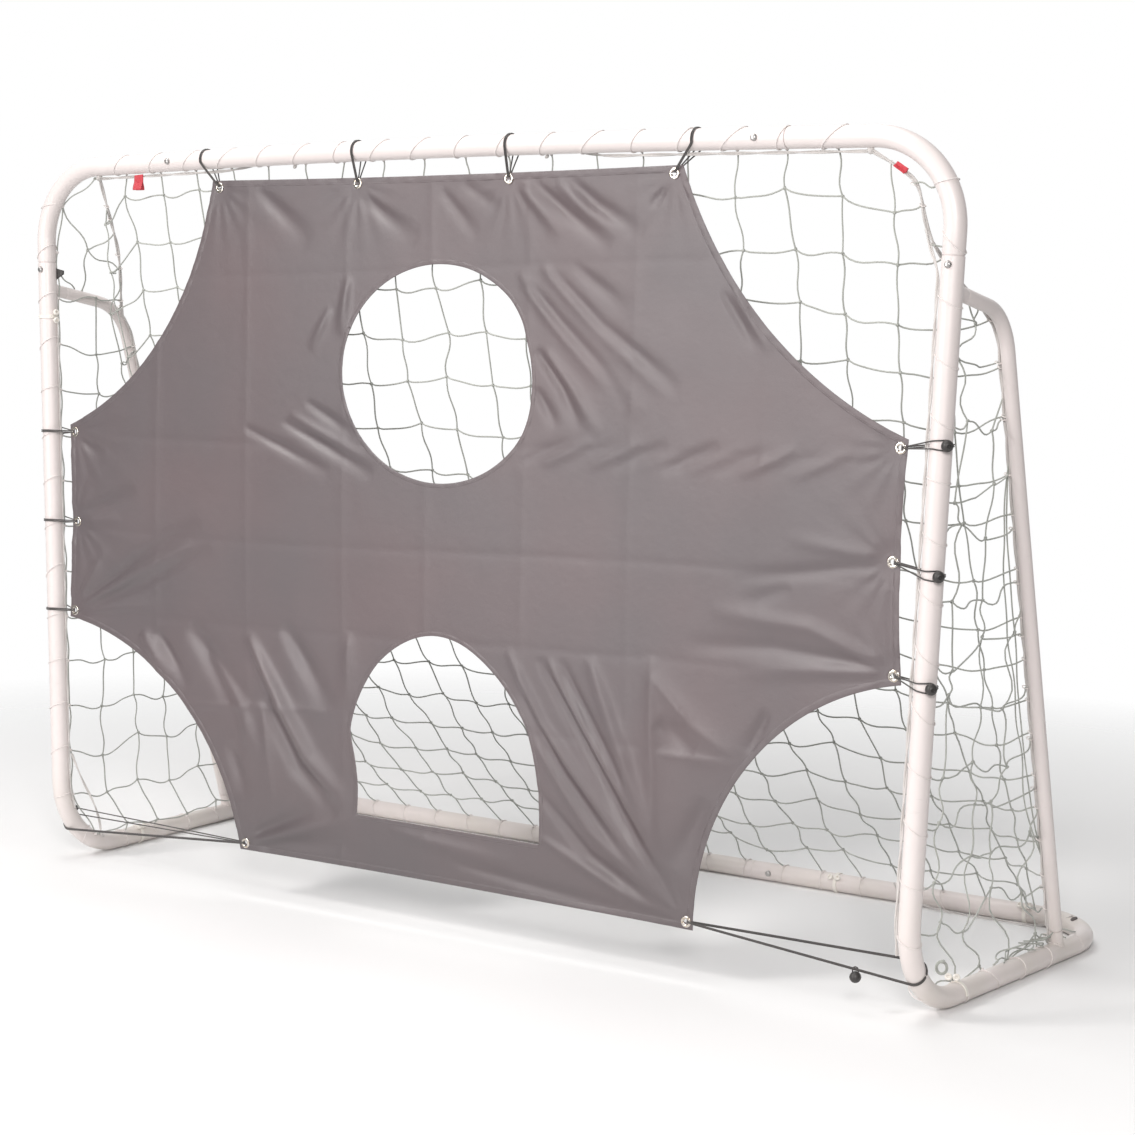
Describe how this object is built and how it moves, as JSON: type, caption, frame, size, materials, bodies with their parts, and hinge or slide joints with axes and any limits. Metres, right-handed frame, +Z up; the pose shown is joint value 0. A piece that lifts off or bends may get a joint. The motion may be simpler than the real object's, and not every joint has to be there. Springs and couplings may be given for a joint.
{
  "type": "football goal with target sheet",
  "caption": "Small free-standing football goal of white steel tube, with a net, side stays and a grey target sheet held in its mouth by ball elastics.",
  "frame": {"origin": "on the floor, at the middle of the box round the goal", "axes": "+X to the right seen from in front of the goal, +Y from its mouth to its back, +Z up"},
  "size_m": [2.1182, 0.8524, 1.5006],
  "materials": {
    "powder_coat": "smooth semi-gloss white powder coat",
    "snap_button": "bright zinc plated",
    "leaf_spring": "bare spring steel",
    "plug": "matt black",
    "net_twine": "knotted polyethylene twine",
    "border_rope": "twisted cord",
    "target_cloth": "coated woven polyester with a slight sheen",
    "eyelet": "nickel plated brass",
    "elastic": "braided sheath and plain ball"
  },
  "bodies": {
    "goal": {"crossbar": "powder_coat", "rear_bar": "powder_coat", "top_corner_left": "powder_coat", "side_tube_left": "powder_coat", "rear_corner_left": "powder_coat", "stay_left": "powder_coat", "top_corner_right": "powder_coat", "side_tube_right": "powder_coat", "rear_corner_right": "powder_coat", "stay_right": "powder_coat", "crossbar_left_spring": "leaf_spring", "crossbar_right_spring": "leaf_spring", "upright_left_spring": "leaf_spring", "upright_right_spring": "leaf_spring", "rear_bar_left_spring": "leaf_spring", "rear_bar_right_spring": "leaf_spring", "rail_left_spring": "leaf_spring", "rail_right_spring": "leaf_spring", "drain_plug_left": "plug", "drain_plug_right": "plug", "net_roof": "net_twine", "net_back": "net_twine", "net_left": "net_twine", "net_right": "net_twine", "border_rope_left": "border_rope", "border_rope_right": "border_rope", "target_sheet": "target_cloth", "eyelet_top_1": "eyelet", "eyelet_top_2": "eyelet", "eyelet_top_3": "eyelet", "eyelet_top_4": "eyelet", "eyelet_left_1": "eyelet", "eyelet_left_2": "eyelet", "eyelet_left_3": "eyelet", "eyelet_right_1": "eyelet", "eyelet_right_2": "eyelet", "eyelet_right_3": "eyelet", "eyelet_bottom_left": "eyelet", "eyelet_bottom_right": "eyelet", "elastic_top_1": "elastic", "elastic_top_2": "elastic", "elastic_top_3": "elastic", "elastic_top_4": "elastic", "elastic_left_1": "elastic", "elastic_left_2": "elastic", "elastic_left_3": "elastic", "elastic_right_1": "elastic", "elastic_right_2": "elastic", "elastic_right_3": "elastic", "elastic_bottom_left": "elastic", "elastic_bottom_right": "elastic"},
    "crossbar_left_snap": {"crossbar_left_button": "snap_button"},
    "crossbar_right_snap": {"crossbar_right_button": "snap_button"},
    "upright_left_snap": {"upright_left_button": "snap_button"},
    "upright_right_snap": {"upright_right_button": "snap_button"},
    "rear_bar_left_snap": {"rear_bar_left_button": "snap_button"},
    "rear_bar_right_snap": {"rear_bar_right_button": "snap_button"},
    "rail_left_snap": {"rail_left_button": "snap_button"},
    "rail_right_snap": {"rail_right_button": "snap_button"}
  },
  "joints": [
    {"name": "crossbar_left_press", "type": "slide", "parent": "goal", "child": "crossbar_left_snap", "axis": [0, 1, 0], "range_m": [0, 0.006], "stiffness_N_per_m": 1500, "deforming": ["crossbar_left_spring"]},
    {"name": "crossbar_right_press", "type": "slide", "parent": "goal", "child": "crossbar_right_snap", "axis": [0, 1, 0], "range_m": [0, 0.006], "stiffness_N_per_m": 1500, "deforming": ["crossbar_right_spring"]},
    {"name": "upright_left_press", "type": "slide", "parent": "goal", "child": "upright_left_snap", "axis": [0, 1, 0], "range_m": [0, 0.006], "stiffness_N_per_m": 1500, "deforming": ["upright_left_spring"]},
    {"name": "upright_right_press", "type": "slide", "parent": "goal", "child": "upright_right_snap", "axis": [0, 1, 0], "range_m": [0, 0.006], "stiffness_N_per_m": 1500, "deforming": ["upright_right_spring"]},
    {"name": "rear_bar_left_press", "type": "slide", "parent": "goal", "child": "rear_bar_left_snap", "axis": [0, 1, 0], "range_m": [0, 0.006], "stiffness_N_per_m": 1500, "deforming": ["rear_bar_left_spring"]},
    {"name": "rear_bar_right_press", "type": "slide", "parent": "goal", "child": "rear_bar_right_snap", "axis": [0, 1, 0], "range_m": [0, 0.006], "stiffness_N_per_m": 1500, "deforming": ["rear_bar_right_spring"]},
    {"name": "rail_left_press", "type": "slide", "parent": "goal", "child": "rail_left_snap", "axis": [-0.9977, -0.0683, 0], "range_m": [0, 0.006], "stiffness_N_per_m": 1500, "deforming": ["rail_left_spring"]},
    {"name": "rail_right_press", "type": "slide", "parent": "goal", "child": "rail_right_snap", "axis": [0.9977, -0.0683, 0], "range_m": [0, 0.006], "stiffness_N_per_m": 1500, "deforming": ["rail_right_spring"]}
  ]
}
